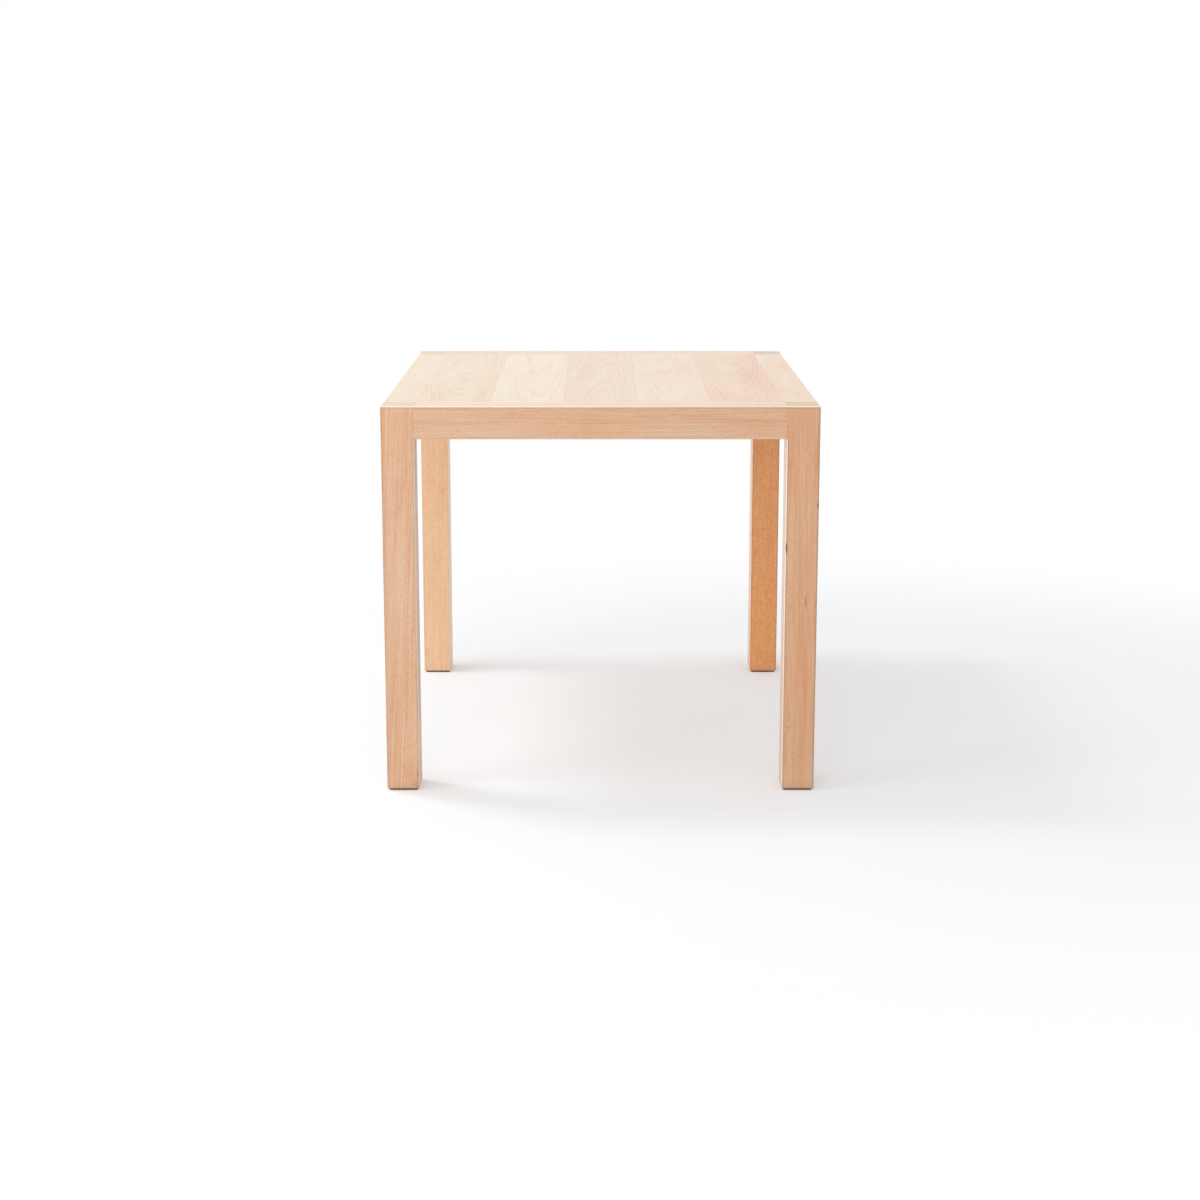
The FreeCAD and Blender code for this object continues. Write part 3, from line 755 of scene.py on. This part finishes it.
def pad_skin(low, high, seed):
    """The pressed felt's vertices and faces: a soft rounded edge that is uneven to the touch."""
    middle = (low + high) / 2
    half = (high.x - low.x) / 2

    def rough(where, size):
        return noise.noise(where / size + Vector((seed * PAD_BUMP_SHIFT, 0, 0)))

    vertices, faces = [], []
    rows = pad_rows(half, high.z - low.z)
    for pull, z, on_edge in rows:
        shrink = 1.0 if on_edge else 1 - pull / half
        for point, way in pad_outline(half, pull if on_edge else PAD_EDGE_ROUND):
            where = Vector((point.x * shrink, point.y * shrink, z))
            if on_edge:
                bumps = sum(height * rough(middle + where, size * MM) for height, size in PAD_BUMPS)
                where += way * MM * (bumps - PAD_PRESSED_IN)
            vertices.append(Vector((middle.x + where.x, middle.y + where.y, low.z + z)))

    count = len(vertices) // len(rows)
    for start in range(0, len(vertices) - count, count):
        for i in range(count):
            j = (i + 1) % count
            faces.append((start + i, start + j, start + count + j, start + count + i))
    faces.append(tuple(reversed(range(count))))
    faces.append(tuple(range(len(vertices) - count, len(vertices))))
    return vertices, faces


def fibre_spines(low, high, chance):
    """The lines of the loose fibres that stand out of the pad's edge, each a list of points."""
    middle = (low + high) / 2
    border = pad_outline((high.x - low.x) / 2, 0.0)
    for _ in range(FIBRES):
        point, way = border[chance.randrange(len(border))]
        root = Vector((middle.x, middle.y, low.z)) + point * FIBRE_ROOT
        root.z += (high.z - low.z) * chance.uniform(*FIBRE_HEIGHTS)
        sideways = Vector((-way.y, way.x, 0)) * chance.uniform(-1, 1)
        rise = Vector((0, 0, chance.uniform(-FIBRE_RISE, FIBRE_RISE)))
        length = chance.uniform(*FIBRE_LENGTHS) * MM
        spine = []
        for i in range(FIBRE_SPANS + 1):
            s = i / FIBRE_SPANS
            outward = way * FIBRE_OUTWARD * (1 - FIBRE_CURL * s)
            spot = root + (outward + (sideways + rise) * s) * length * s
            spot.z = min(max(spot.z, low.z + 2 * FIBRE_RADIUS), high.z - 2 * FIBRE_RADIUS)
            spine.append(spot)
        yield spine


def add_fibre(vertices, faces, spine):
    """Adds a thin three-sided taper along the spine."""
    first = len(vertices)
    for i, spot in enumerate(spine):
        taper = 1 - FIBRE_TAPER * (i / FIBRE_SPANS)
        for angle in FIBRE_CORNERS:
            vertices.append(spot + Vector((math.cos(angle), 0, math.sin(angle))) * FIBRE_RADIUS * taper)
    for start in range(first, first + 3 * FIBRE_SPANS, 3):
        for k in range(3):
            a, b = start + k, start + (k + 1) % 3
            faces.append((a, b, b + 3, a + 3))
    last = first + 3 * FIBRE_SPANS
    faces.append((first, first + 2, first + 1))
    faces.append((last, last + 1, last + 2))


def felt_pad(name, replaced, seed, material):
    """Puts a soft pad in the place of a plain one."""
    low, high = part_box(replaced)
    vertices, faces = pad_skin(low, high, seed)
    for spine in fibre_spines(low, high, random.Random(seed)):
        add_fibre(vertices, faces, spine)

    mesh = bpy.data.meshes.new(name)
    mesh.from_pydata(vertices, [], faces)
    mesh.update()
    mesh.polygons.foreach_set("use_smooth", [True] * len(mesh.polygons))
    mesh.materials.append(material)
    pad = bpy.data.objects.new(name, mesh)
    bpy.context.scene.collection.objects.link(pad)
    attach(pad, "root")
    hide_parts(replaced)


felt = felt_material()
for number, corner_name in enumerate(("front_left", "front_right", "back_right", "back_left"), 1):
    felt_pad(corner_name + "_felt", corner_name + "_foot_pad", number, felt)


# ---------------------------------------------------------------- floor, light and camera

FLOOR_RADIUS = 9.0
FLOOR_DROP = 0.1 * MM               # below the feet, so that the two don't share a plane
FLOOR_GREY = (0.80, 0.80, 0.80, 1.0)            # as it lights the table
FLOOR_PALE = (0.94, 0.967, 1.0, 1.0)            # as it shows
FLOOR_GLOW = 0.26                   # the share of plain white in what shows
FLOOR_MIDDLE = (0.45, 0.0)          # of the part that shows, under the table and its shadow
FLOOR_DEPTH = 0.8                   # that part's depth as a share of its width
FLOOR_FADE = (0.85, 1.9)            # and the distances from its middle between which it fades to white
AMBIENT = 0.80                      # the room's light
AMBIENT_SLOPE = (-0.17, -0.10, -0.08)           # how it changes to the right, to the back and upwards

CAMERA_PLACE = (-0.0013, -3.6805, 1.2518)
CAMERA_TILT = 9.45                  # degrees down from level
CAMERA_TURN = -0.009                # degrees to the left of straight back
CAMERA_LENS = 54.952                # mm
CAMERA_SENSOR = 36.0                # mm across
CAMERA_SHIFT = -0.15


def seen_directly(t):
    """1 for rays that show the background itself: from the camera, in a reflection or through glass."""
    path = t.node("LightPath").outputs
    return t.larger(path["Is Camera Ray"], t.larger(path["Is Glossy Ray"], path["Is Transmission Ray"]))


def floor_material():
    """Grey as light sees it, and pale with a shadow to the eye, fading into the white round it."""
    material, t = new_material("studio_floor")
    shown = seen_directly(t)
    grey = t.node("BsdfDiffuse", inputs={"Color": FLOOR_GREY}).outputs[0]
    pale = t.node("BsdfDiffuse", inputs={"Color": FLOOR_PALE}).outputs[0]
    glow = t.node("Emission", inputs={"Color": WHITE, "Strength": 1.0}).outputs[0]
    ground = t.blend(shown, grey, t.blend(FLOOR_GLOW, pale, glow))
    point = t.split(t.node("TexCoord").outputs["Object"])
    aside = t.sub(point[0], FLOOR_MIDDLE[0])
    away = t.mul(t.sub(point[1], FLOOR_MIDDLE[1]), 1 / FLOOR_DEPTH)
    fade = t.mul(t.step(t.length(aside, away), *FLOOR_FADE), shown)
    clear = t.node("BsdfTransparent").outputs[0]
    t.node("OutputMaterial", inputs={"Surface": t.blend(fade, ground, clear)})
    return material


def make_floor():
    bpy.ops.mesh.primitive_circle_add(
        vertices=96, radius=FLOOR_RADIUS, fill_type="NGON", location=(0, 0, -FLOOR_DROP))
    floor = bpy.context.object
    floor.name = "floor"
    floor.data.materials.append(floor_material())
    floor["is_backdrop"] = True


def make_world():
    world = bpy.data.worlds.new("studio")
    bpy.context.scene.world = world
    world.use_nodes = True
    t = Tree(world.node_tree)
    way = t.split(t.node("TexCoord").outputs["Generated"])
    level = t.total(AMBIENT, *(t.mul(part, slope) for part, slope in zip(way, AMBIENT_SLOPE)))
    ambient = t.node("Background", inputs={"Color": WHITE, "Strength": level}).outputs[0]
    white = t.node("Background", inputs={"Color": WHITE, "Strength": 1.0}).outputs[0]
    t.node("OutputWorld", inputs={"Surface": t.blend(seen_directly(t), ambient, white)})


def softbox(name, place, target, size, watts):
    light = bpy.data.lights.new(name, "AREA")
    light.shape = "RECTANGLE"
    light.size, light.size_y = size
    light.energy = watts
    lamp = bpy.data.objects.new(name, light)
    bpy.context.scene.collection.objects.link(lamp)
    lamp.location = place
    lamp.rotation_euler = (Vector(target) - Vector(place)).to_track_quat("-Z", "Y").to_euler()


def make_camera():
    """The view from the front, from above the table and tilted down to it."""
    data = bpy.data.cameras.new("camera")
    data.sensor_width = CAMERA_SENSOR
    data.lens = CAMERA_LENS
    data.shift_y = CAMERA_SHIFT
    camera = bpy.data.objects.new("camera", data)
    bpy.context.scene.collection.objects.link(camera)
    camera.location = CAMERA_PLACE
    camera.rotation_euler = (math.radians(90 - CAMERA_TILT), 0.0, math.radians(CAMERA_TURN))
    bpy.context.scene.camera = camera


make_floor()
make_world()
softbox("key", place=(-1.7, 0.24, 3.25), target=(0.0, 0.0, 0.35), size=(0.5, 1.0), watts=27.5)
softbox("fill", place=(-0.7, -4.3, 2.2), target=(0.0, 0.0, 0.45), size=(2.4, 2.4), watts=31.0)
softbox("side", place=(-3.3, -1.5, 1.0), target=(0.1, 0.0, 0.4), size=(1.6, 1.6), watts=36.0)
make_camera()

bpy.context.scene.view_settings.view_transform = "Standard"

boxes = {"cad": cad_box, "visual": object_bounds()}
{name: [list(corner) for corner in box] for name, box in boxes.items()}
